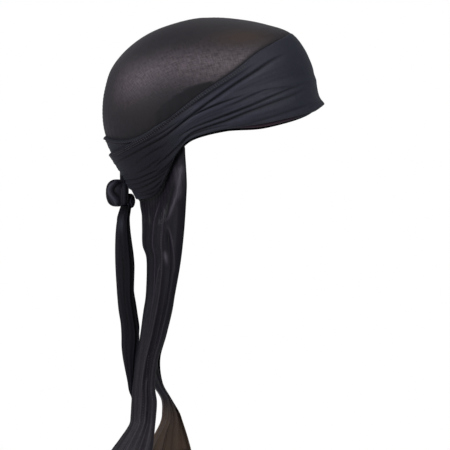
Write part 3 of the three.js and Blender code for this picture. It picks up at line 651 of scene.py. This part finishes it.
def innerPlace(u, v):
    azimuth = 360 * u
    near = bothSides(azimuth)
    top = edgeAt("innerTop", near) + wander(51, u, 10, 0.2) * smooth(near, 90, 120)
    rim = edgeAt("innerRim", near)
    elevation = top + v * (rim - top)
    growth = along(straps["azimuth"], straps["innerGrowth"], near)
    height = 0.5 - 0.5 * np.cos(4 * math.pi * v)
    paintedShade = np.zeros_like(v)
    for i, (share, reach) in enumerate(straps["innerCreases"]):
        sway = 0.05 * np.sin(math.radians(1) * (near - 150) * (1 + 0.4 * i))
        line = share + wander(61 + i, u, 8, 0.02) + sway
        depth = reach * growth
        groove = bell(v, line, 0.022, 1.3)
        height = height - 0.55 * depth * groove + 0.25 * depth * bell(v, line + 0.05, 0.035)
        # the first one is a dip without a shadow
        paintedShade = np.maximum(paintedShade, depth * groove * (i > 0))
    lift = cloth["wall"] + cloth["gap"] + cloth["wall"] + straps["innerFold"] * growth * height
    fromTop = (top - elevation) * straps["degree"]
    fromRim = (elevation - rim) * straps["degree"]
    fromEdge = np.minimum(fromTop, fromRim)
    rounded = rolled(fromEdge / straps["innerCurl"])
    bed = cloth["wall"] + 0.35
    back = smooth(near, 90, 125)
    raised = straps["innerRaised"] * back * bell(fromTop, 1.5, 1.2) * rounded
    topHem, rimHem = straps["innerHem"]
    topWidth, rimWidth = straps["innerHemWidth"]
    hem = bell(fromTop, topHem, topWidth) + bell(fromRim, rimHem, rimWidth)
    lift = bed + (lift - bed) * rounded + raised - 0.3 * hem
    # painted shade at the edges, in the creases and in the hem grooves
    edgeShade = 0.7 * (1 - smooth(fromEdge, 0, 0.8))
    fold = 1 - np.clip(0.9 * paintedShade + 0.7 * hem + edgeShade, 0, 1)
    thin = 0.9 * bell(near, 55, 16, 4) * smooth(-fromRim, -3.5, -1)
    # painted shade and a faint painted highlight over the back
    return onHead(direction(azimuth, elevation), lift), marksOf(fold, thin, 0.6 * back, 0.25 * back)


innerStrap = clothSheet("inner_strap_cloth", straps["innerColumns"], straps["innerRows"], innerPlace,
                        straps["innerUvSize"], cloth["shown"], turned=True, ringed=True)
dress(innerStrap, strapSilk, ["inner_strap"])
print("straps made")


# Flap panels
flap = {
    "drop": 412.0, "azimuth": 102.5, "tucked": 0.05, "foldDepth": 3.4, "folds": 3, "settle": (14.0, 40.0),
    "columns": 130, "rows": 300, "uvSize": (0.13, 0.3), "flat": (0.12, 0.27), "area": 0.027,
    # degrees below the crown's rim and the straps' rim, and about the drop at which a panel comes free
    "tuckBelow": 1.6, "leaveBelow": 1.2, "hangsFrom": 0.37,
    # gathers under the strap, and finer falls: number, sway, start, height and where they set in
    "gathers": 17, "gatherHeight": 0.75, "gatherFade": 16, "shadeFade": 14,
    "finer": [(7, 3, 1, 0.2, 0.45, 0.8), (13, 5, 0, 0.12, 0.5, 0.9)],
    # drop as a share of the whole; x and y of seam and edge as shares of length and breadth; fold depth
    "both": [
        (0.25, -0.312, 0, -0.085, 0.47, 0), (0.35, -0.308, 0, -0.086, 0.445, 0.15),
        (0.41, -0.302, 0, -0.091, 0.42, 0.3), (0.47, -0.299, 0, -0.099, 0.405, 0.4),
        (0.51, -0.297, 0, -0.107, 0.395, 0.45), (0.535, -0.28, 0, -0.113, 0.39, 0.5),
    ],
    "right": [
        (0.57, -0.277, 0, -0.122, 0.38, 0.6), (0.625, -0.28, 0, -0.142, 0.365, 0.75),
        (0.66, -0.29, 0, -0.157, 0.355, 0.85), (0.715, -0.303, 0, -0.187, 0.345, 0.95),
        (0.77, -0.318, 0.005, -0.221, 0.335, 1), (0.825, -0.334, 0.012, -0.234, 0.33, 1),
        (0.86, -0.341, 0.02, -0.225, 0.33, 1), (0.893, -0.345, 0.028, -0.229, 0.335, 1),
        (0.912, -0.351, 0.034, -0.233, 0.345, 1), (0.943, -0.395, 0.046, -0.239, 0.37, 1.1),
        (0.972, -0.44, 0.056, -0.247, 0.4, 1.2), (1, -0.474, 0.064, -0.256, 0.43, 1.3),
    ],
    "left": [
        (0.57, -0.277, 0, -0.124, 0.385, 0.6), (0.625, -0.28, 0, -0.145, 0.38, 0.75),
        (0.66, -0.284, 0.012, -0.157, 0.375, 0.85), (0.715, -0.29, 0.035, -0.185, 0.385, 0.9),
        (0.77, -0.283, 0.07, -0.215, 0.41, 0.9), (0.825, -0.243, 0.115, -0.203, 0.445, 0.9),
        (0.86, -0.2, 0.14, -0.163, 0.465, 0.9), (0.893, -0.199, 0.155, -0.123, 0.49, 0.9),
        (0.912, -0.208, 0.165, -0.109, 0.505, 0.9), (0.943, -0.242, 0.175, -0.088, 0.525, 0.9),
        (0.972, -0.27, 0.185, -0.071, 0.54, 0.9), (1, -0.294, 0.19, -0.057, 0.55, 0.9),
    ],
    # drop and place across, with height in millimetres, width as a share of the panel's and how much painted
    # highlight (above 0) or painted shade (below 0)
    "ridges": [
        ([0.405, 0.45, 0.485, 0.515, 0.56, 0.64, 0.75, 0.9, 1.0],
         [0.62, 0.52, 0.48, 0.46, 0.44, 0.41, 0.4, 0.42, 0.45], 1.0, 0.012, 0.4),
        ([0.41, 0.46, 0.5, 0.58, 0.7, 0.85, 1.0],
         [0.69, 0.675, 0.665, 0.66, 0.65, 0.62, 0.6], 0.7, 0.011, 0.25),
        ([0.325, 0.345, 0.397, 0.419, 0.4485, 0.462],
         [0.96, 0.95, 0.88, 0.83, 0.755, 0.71], 1.5, 0.028, 0.62),
        ([0.325, 0.345, 0.38, 0.4, 0.42], [0.955, 0.945, 0.91, 0.9, 0.87], 0.3, 0.045, 0.5),
        ([0.36, 0.385, 0.405, 0.43, 0.46], [0.88, 0.84, 0.79, 0.735, 0.68], -1.8, 0.022, -1),
        ([0.462, 0.487, 0.521, 0.58], [0.72, 0.8, 0.87, 0.93], 0.7, 0.012, 0.3),
        ([0.47, 0.5, 0.54, 0.6, 0.7], [0.74, 0.77, 0.8, 0.82, 0.84], -1.2, 0.03, -0.6),
        ([0.519, 0.53, 0.548, 0.56], [0.7, 0.71, 0.73, 0.74], 1.1, 0.03, 1.0),
        ([0.55, 0.6, 0.66, 0.76], [0.62, 0.57, 0.53, 0.5], 0.8, 0.016, 0.2),
        ([0.56, 0.62, 0.72, 0.85, 1.0], [0.55, 0.5, 0.46, 0.49, 0.54], -1.2, 0.024, -0.8),
        ([0.42, 0.5, 0.65, 0.8, 1.0], [0.3, 0.28, 0.25, 0.27, 0.32], -1.0, 0.022, -0.7),
        ([0.41, 0.45, 0.5, 0.56], [0.4, 0.385, 0.37, 0.36], -1.1, 0.022, -0.8),
        ([0.7, 0.78, 0.88, 1.0], [0.18, 0.17, 0.17, 0.2], 0.9, 0.02, 0.17),
        ([0.8, 0.88, 1.0], [0.72, 0.7, 0.68], 1.1, 0.03, 0.2),
    ],
}


def flapPlace(side, hand):
    table = np.array(flap["both"] + flap[side], float)
    seed = 201 if side == "right" else 301

    def place(u, v):
        s = 1 - u
        azimuth = 180 - s * (180 - flap["azimuth"])
        tuck = edgeAt("crownRim", azimuth) - flap["tuckBelow"]
        leave = np.minimum(edgeAt("innerRim", azimuth), edgeAt("outerRim", azimuth)) - flap["leaveBelow"]
        down = np.minimum(v / flap["tucked"], 1)
        spot = onHead(direction(azimuth, tuck + down * (leave - tuck)), cloth["wall"] + 0 * u)
        spot[:, 1] = np.maximum(spot[:, 1], 0)
        top = spot[:, 2].copy()
        fall = np.clip((v - flap["tucked"]) / (1 - flap["tucked"]), 0, 1)
        drop = (1 - fall) * -top / flap["drop"] + fall
        seamX, seamY, edgeX, edgeY, depth = (along(table[:, 0], table[:, k], drop) for k in range(1, 6))
        turn = s * math.pi / 2
        seamSpot = np.stack([seamX * head["length"], np.maximum(seamY, 0) * head["breadth"]], axis=1)
        edgeSpot = np.stack([edgeX * head["length"], edgeY * head["breadth"]], axis=1)
        reach = np.stack([1 - np.cos(turn), np.sin(turn)], axis=1)
        hang = seamSpot + (edgeSpot - seamSpot) * reach
        fallen = drop * flap["drop"] + top
        atSeam, atEdge = flap["settle"]
        settle = smooth(fallen / (atSeam + s * (atEdge - atSeam)), 0, 1)
        wave = -np.sin(2 * math.pi * flap["folds"] * s) * flap["foldDepth"] * depth * settle

        # finer falls that drift as they go down, and gathers under the strap
        drift = wander(seed, drop, 3, 0.35)
        calm = smooth(s, 0.0, 0.06) * smooth(1 - s, 0.0, 0.05)
        finer = sum(
            height * np.sin(2 * math.pi * count * s + sway * drift + start) * smooth(drop, low, high)
            for count, sway, start, height, low, high in flap["finer"]
        )
        gather = np.sin(2 * math.pi * flap["gathers"] * s + 2 * drift)
        below = np.clip(fallen, 0, 400)
        gathers = flap["gatherHeight"] * gather * np.exp(-below / flap["gatherFade"]) * smooth(fallen, 0, 4)
        wave = wave + (finer + gathers) * calm
        # painted shade in the gathers' hollows and a faint painted highlight on their tops
        shown = gather * np.exp(-below / flap["shadeFade"])
        paintedShade = 0.8 * np.clip(-shown, 0, 1)
        light = 0.14 * np.clip(shown, 0, 1)
        for drops, places, height, wide, tone in flap["ridges"]:
            first, last = drops[0], drops[-1]
            at = along(drops, places, drop) + 0.01 * drift
            ending = 1 if last == 1 else 1 - smooth(drop, last - 0.03, last)
            hump = bell(s, at, wide, 1.6) * (smooth(drop, first, first + 0.02) * ending)
            wave = wave + height * hump
            paintedShade = np.maximum(paintedShade, -tone * hump)
            light = np.maximum(light, tone * hump)

        outward = np.stack([-np.cos(turn), np.sin(turn)], axis=1)
        hang = hang + outward * wave[:, None]
        loose = v > flap["tucked"]
        for k in (0, 1):
            spot[:, k] = np.where(loose, spot[:, k] + (hang[:, k] - spot[:, k]) * settle, spot[:, k])
        spot[:, 2] = np.where(loose, -drop * flap["drop"], spot[:, 2])
        spot[:, 1] = hand * (np.maximum(spot[:, 1], 0) + cloth["panelGap"] / 2)

        sideWidth = math.sqrt(0.5)
        footWidth = math.sqrt(0.8)
        seamHem = bell(s * 110, 4, sideWidth) + bell(s * 110, 8, sideWidth)
        hem = bell((1 - s) * 130, 5.5, sideWidth) + bell((1 - fall) * 290, 9, footWidth)
        hem = hem + smooth(drop, 0.74, 0.8) * seamHem
        # painted shade under the straps, in the ridges' hollows and in the hem grooves
        paintedShadeUnderStrap = 1 - smooth(fallen, -2, 7)
        fold = 1 - np.clip(paintedShade + 0.45 * np.clip(hem, 0, 1) + 0.8 * paintedShadeUnderStrap, 0, 1)
        # painted highlight on the ridges and painted light towards the foot
        foot = smooth(drop, 0.62, 0.92)
        thin = 0.03 * foot if side == "right" else 0.88 * smooth(drop, 0.84, 0.92)
        return spot, marksOf(fold, thin, 0.0, np.clip(light + 0.13 * foot, 0, 1))
    return place


for side, hand in (("right", -1), ("left", 1)):
    panel = clothSheet("flap_panel_" + side, flap["columns"], flap["rows"], flapPlace(side, hand),
                       flap["uvSize"], cloth["shown"], turned=hand > 0)
    dress(panel, flapSilk, ["flap_" + side])
print("flap made")


# The knot: the bow's closed loop and the bunched end are pleated from pole to pole; the turn winds round them
knot = {
    "x": -74.9, "z": -162.0, "width": 27.0, "height": 26.0, "wall": 0.8,
    # centre and half sizes in millimetres, how square each is, its pleats and their depth
    "bunches": [
        {"name": "knot_loop", "centre": (-81.9, 0, -161.5), "half": (10.5, 11.2, 12.7), "square": 2.6,
         "pleats": 6, "depth": 2.2, "grid": (208, 90), "uvSize": (0.09, 0.06), "flat": (0.052, 0.046),
         "turned": True},
        {"name": "knot_end", "centre": (-69.9, 0, -168.9), "half": (5.1, 7.6, 6.9), "square": 2.3,
         "pleats": 9, "depth": 1.0, "grid": (208, 90), "uvSize": (0.09, 0.06), "flat": (0.03, 0.024),
         "turned": True},
    ],
    "turn": {"name": "knot_turn", "centre": (-75.1, 0, -162.6), "across": 11.4, "up": 11.4, "half": 3.9,
             "thick": 2.6, "bend": 118, "pleats": 3, "depth": 0.55, "square": 2.5,
             "grid": (160, 90), "uvSize": (0.09, 0.03), "flat": (0.04, 0.03), "turned": False},
    # half widths and centre at shares of the way down
    "neck": {"name": "knot_neck", "pleats": 15, "depth": 0.09, "top": -137.5, "foot": -156.0,
             "down": [0, 0.35, 0.7, 1], "halfY": [9.5, 8.2, 6.6, 6], "halfX": [3.4, 3.7, 4.2, 4.6],
             "x": [-75.5, -75.2, -74.8, -75],
             "grid": (140, 70), "uvSize": (0.05, 0.02), "flat": (0.04, 0.027), "turned": True},
}


def bunchPlace(bunch, seed):
    def place(u, v):
        way = direction(360 * u, 90 - 180 * v)
        power = bunch["square"]
        reach = (abs(way) ** power).sum(axis=1) ** (-1 / power)
        lean = np.sqrt(np.clip(1 - way[:, 2] ** 2, 0, 1))
        warp = 0.7 * wander(seed, u, 4) + 0.7 * wander(seed + 3, v, 2) * lean
        wave = abs(np.sin(bunch["pleats"] * math.pi * u + warp * 2))
        finer = abs(np.sin(2.0 * bunch["pleats"] * math.pi * u + warp * 3 + 0.9))
        size = 1 + 0.35 * wander(seed + 5, u, 5)
        rise = bunch["depth"] * (wave ** 0.55 - 1) * size + 0.3 * bunch["depth"] * (finer ** 0.6 - 1)
        half = np.array(bunch["half"]) + (rise * lean ** 0.5)[:, None]
        spot = np.array(bunch["centre"]) + way * reach[:, None] * half
        # painted shade down in the pleats; painted highlight on the pleats' tops, warmed a little with the
        # sheer tint; painted shade elsewhere
        crease = bell(wave, 0, 0.33)
        light = np.clip(wave, 0, 1) ** 6 * smooth(lean, 0.3, 0.8)
        return spot, marksOf(1 - 0.9 * crease, 0.12 * light, 0.8 * (1 - light), light)
    return place


# Painted shade between pleats: 1 on a pleat, darker down between two
def betweenPleats(pleat):
    return 1 - 0.9 * np.clip(0.5 - 0.5 * pleat, 0, 1) ** 2


def turnPlace(u, v):
    turn = knot["turn"]
    angle = 2 * math.pi * u
    bend = (2 * v - 1) * math.radians(turn["bend"])
    pleat = np.cos(2 * turn["pleats"] * bend + wander(421, u, 4, 1.1))
    rise = turn["depth"] * (pleat - 0.6 * abs(pleat) ** 3)
    power = turn["square"]
    ring = (abs(np.cos(angle)) ** power + abs(np.sin(angle)) ** power) ** (-1 / power)
    radial = (turn["thick"] + rise) * (np.cos(bend) - 1)
    across = (turn["across"] * ring + radial) * np.cos(angle)
    up = (turn["up"] * ring + radial) * np.sin(angle)
    aside = (turn["half"] * (1 + wander(426, u, 3, 0.06)) + 0.5 * rise) * np.sin(bend)
    x, y, z = turn["centre"]
    spot = np.stack([x + aside, y + across, z + up], axis=1)
    # painted shade between the pleats and all over, with a faint painted highlight on the pleats
    return spot, marksOf(betweenPleats(pleat), 0.0, 0.45, 0.25 * np.clip(pleat, 0, 1))


def neckPlace(u, v):
    neck = knot["neck"]
    angle = 2 * math.pi * u
    z = neck["top"] + v * (neck["foot"] - neck["top"])
    halfY, halfX, x = (along(neck["down"], neck[key], v) for key in ("halfY", "halfX", "x"))
    pleat = np.cos(neck["pleats"] * angle + wander(501, v, 3, 0.8))
    rise = 1 + neck["depth"] * pleat
    spot = np.stack([x + halfX * rise * np.cos(angle), halfY * rise * np.sin(angle), z], axis=1)
    # painted shade between the pleats and all over
    return spot, marksOf(betweenPleats(pleat), 0.0, 0.6)


knotParts = [(bunch, bunchPlace(bunch, 401 + 20 * i)) for i, bunch in enumerate(knot["bunches"])]
knotParts += [(knot["turn"], turnPlace), (knot["neck"], neckPlace)]
for part, place in knotParts:
    piece = clothSheet(part["name"], *part["grid"], place, part["uvSize"], knot["wall"],
                       turned=part["turned"], ringed=True)
    dress(piece, strapSilk, ["knot"])
print("knot made")


# Tie ends: the strap folded lengthwise, a full inner leaf, the fold at its back and a narrower outer leaf.
# drop is a share of its length; back and front are x and spread the gap between the leaves, as shares of
# the knot's width.
tie = {
    "drop": [0, .03, .07, .13, .2, .27, .335, .41, .475, .545, .61, .675, .73, .785, .85, .91, .96, 1],
    "back": [-.1, -.17, -.25, -.3, -.32, -.32, -.305, -.275, -.245, -.2, -.13, -.105, -.1, -.06,
             .02, .1, .155, .26],
    "front": [.22, .2, .175, .2, .255, .315, .347, .335, .33, .4, .46, .515, .49, .43, .375, .335, .31, .29],
    "spread": [.26, .25, .23, .21, .2, .19, .18, .17, .17, .17, .16, .15, .15, .14, .12, .1, .09, .06],
    "length": {"right": 177.0, "left": 165.0}, "offset": 5.0, "outerShare": 0.78, "wall": 0.7,
    "columns": 72, "rows": 230, "uvSize": (0.04, 0.18), "flat": (0.03, 0.18),
    # where the outer leaf's crease runs along it, and its depth
    "groove": 0.7, "grooveWidth": 0.06, "grooveDepth": 0.3,
}


def tiePlace(side, hand):
    def place(u, v):
        back = along(tie["drop"], tie["back"], v) * knot["width"]
        width = along(tie["drop"], tie["front"], v) * knot["width"] - back
        spread = along(tie["drop"], tie["spread"], v) * knot["width"] / 2
        leaf = abs(u - 0.5) * 2
        outer = u > 0.5
        outward = np.where(outer, 1, -1)
        share = np.where(outer, tie["outerShare"], 1.0)
        bow = np.sin(np.minimum(leaf * 1.25, 1) * math.pi / 2)
        x = back + width * share * leaf ** 1.6
        ripple = 0.1 * np.sin(2 * math.pi * 3 * leaf + wander(601, v, 4, 1.6)) * smooth(leaf, 0.05, 0.3)
        ripple = ripple + 0.5 * np.cos(2 * math.pi * 9 * leaf) * np.exp(-v * 14)
        groove = bell(leaf, tie["groove"], tie["grooveWidth"]) * outer
        groove = groove * smooth(v, 0.12, 0.3) * (1 - smooth(v, 0.6, 0.75))
        sideways = outward * (spread * bow * (1 - 0.35 * leaf) + ripple) - tie["grooveDepth"] * groove
        top = knot["z"] - 0.5 * knot["height"] + 1.5
        z = top - v * (tie["length"][side] + 2)
        spot = np.stack([knot["x"] + x, hand * (tie["offset"] + sideways), z], axis=1)
        hem = bell((1 - leaf) * 20, 2.5, math.sqrt(0.2))
        # painted shade in the outer leaf's crease, in the hem and near the knot; painted highlights near the
        # top and along the inner leaf's lower edge, with painted shade elsewhere
        fold = 0.95 - np.clip(0.7 * groove + 0.4 * hem + 0.6 * np.exp(-v * 26), 0, 0.95)
        light = 0.8 * outer * bell(v, 0.09, 0.05) * bell(leaf, 0.6, 0.25)
        light = light + 0.9 * (1 - outer) * bell(leaf, 1, 0.1) * smooth(v, 0.6, 0.75)
        return spot, marksOf(fold, 0.0, 1 - light, light)
    return place


for side, hand in (("right", -1), ("left", 1)):
    piece = clothSheet("tie_cloth_" + side, tie["columns"], tie["rows"], tiePlace(side, hand),
                       tie["uvSize"], tie["wall"], turned=hand < 0)
    dress(piece, strapSilk, ["tie_end_" + side])
print("ties made")


# Stitching: rows along the straps' upper hems and down the flap
stitching = {"length": 1.5, "pitch": 2.5, "width": 0.7, "rise": 0.24}
strapRows = [
    # strap, the azimuths between which its rows run, and how far below its top edge they lie
    ("inner", [(96, 264)], (1.9, 4.6)),
    ("outer", [(66, 177), (-177, -66)], (1.9, 3.6)),
]
flapRows = [
    # place across and drop at both ends, as shares
    ((0.035, 0.05), (0.72, 0.995)),
    ((0.075, 0.09), (0.74, 0.995)),
    ((0.615, 0.655), (0.75, 0.9)),
    ((0.665, 0.7), (0.75, 0.9)),
    ((0.9, 0.91), (0.84, 0.87)),
    ((0.655, 0.65), (0.42, 0.56)),
]


# Spots along a line of a sheet, and the way out of it there; facing is -1 where the grid looks inwards
def stitchLine(place, u, v, facing):
    nudge = 1e-3
    spots = place(u, v)[0]
    outwards = np.cross(place(u + nudge, v)[0] - spots, place(u, v + nudge)[0] - spots)
    return spots, unit(outwards) * facing


def strapHem(strap, span, below):
    azimuth = np.linspace(*span, 300)
    near = bothSides(azimuth)
    inner = strap == "inner"
    width = edgeAt(strap + "Top", near) - edgeAt(strap + "Rim", near)
    u = azimuth / 360 if inner else (azimuth + 180) / 360
    return stitchLine(innerPlace if inner else strapPlace, u, below / straps["degree"] / width, -1)


def flapHem(side, hand, across, drop):
    at = np.linspace(0, 1, 200)
    across = across[0] + at * (across[1] - across[0])
    drop = drop[0] + at * (drop[1] - drop[0])
    fall = (drop - flap["hangsFrom"]) / (1 - flap["hangsFrom"])
    v = flap["tucked"] + (1 - flap["tucked"]) * fall
    return stitchLine(flapPlace(side, hand), 1 - across, v, -hand)


strapLines = [
    strapHem(strap, span, below)
    for strap, spans, belows in strapRows for span in spans for below in belows
]
hemStitches = stitchRow("hem_stitches", strapLines, stitching)
dress(hemStitches, threadSilk)
flapLines = [flapHem(side, hand, *row) for side, hand in (("right", -1), ("left", 1)) for row in flapRows]
flapStitches = stitchRow("flap_stitches", flapLines, stitching)
dress(flapStitches, threadSilk)
print("stitches made")


# Floor, light and air
studio = {
    "floor": -0.66, "floorSize": 6.0, "floorColor": (0.8, 0.8, 0.8, 1), "floorRoughness": 0.9,
    "air": 0.22, "airColor": (0.95, 0.97, 1, 1), "aim": (0, 0, -0.12),
}
floorMesh = bmesh.new()
bmesh.ops.create_grid(floorMesh, x_segments=1, y_segments=1, size=studio["floorSize"] / 2)
bmesh.ops.translate(floorMesh, vec=(0, 0, studio["floor"]), verts=floorMesh.verts)
floorData = bpy.data.meshes.new("floor")
floorMesh.to_mesh(floorData)
floorMesh.free()
floorObject = bpy.data.objects.new("floor", floorData)
bpy.context.collection.objects.link(floorObject)
floorPaint = bpy.data.materials.new("floor paint")
floorPaint.use_nodes = True
floorShader = floorPaint.node_tree.nodes["Principled BSDF"]
floorShader.inputs["Base Color"].default_value = studio["floorColor"]
floorShader.inputs["Roughness"].default_value = studio["floorRoughness"]
floorData.materials.append(floorPaint)

world = bpy.data.worlds.new("studio air")
world.use_nodes = True
bpy.context.scene.world = world
airTree = world.node_tree
seen = airTree.nodes["Background"]
seen.inputs["Color"].default_value = (1, 1, 1, 1)
seen.inputs["Strength"].default_value = 1.0
dimmed = {"Color": studio["airColor"], "Strength": studio["air"]}
dim = Signal(airTree).make("ShaderNodeBackground", None, dimmed)
ray = dim.make("ShaderNodeLightPath")
air = dim.make("ShaderNodeMixShader", None, {0: ray, 1: dim, 2: Signal(airTree, seen.outputs[0])})
airTree.links.new(air.socket, airTree.nodes["World Output"].inputs["Surface"])

lamps = [
    # name, place, size, strength, color
    ("key", (-1.75, -1.15, 0.85), 1.5, 30, (0.96, 0.94, 1)),
    ("front", (1.1, -1.5, 1.5), 1.3, 21.5, (1, 1, 1)),
    ("rim", (0.3, 1.2, 1.9), 0.5, 1.6, (1, 1, 1)),
]
for name, place, size, strength, color in lamps:
    lamp = bpy.data.lights.new(name, "AREA")
    lamp.shape = "DISK"
    lamp.size = size
    lamp.energy = strength
    lamp.color = color
    light = bpy.data.objects.new(name, lamp)
    light.location = place
    aim = Vector(studio["aim"]) - Vector(place)
    light.rotation_euler = aim.to_track_quat("-Z", "Y").to_euler()
    bpy.context.collection.objects.link(light)
bpy.context.scene.view_settings.view_transform = "Standard"
print("studio set")
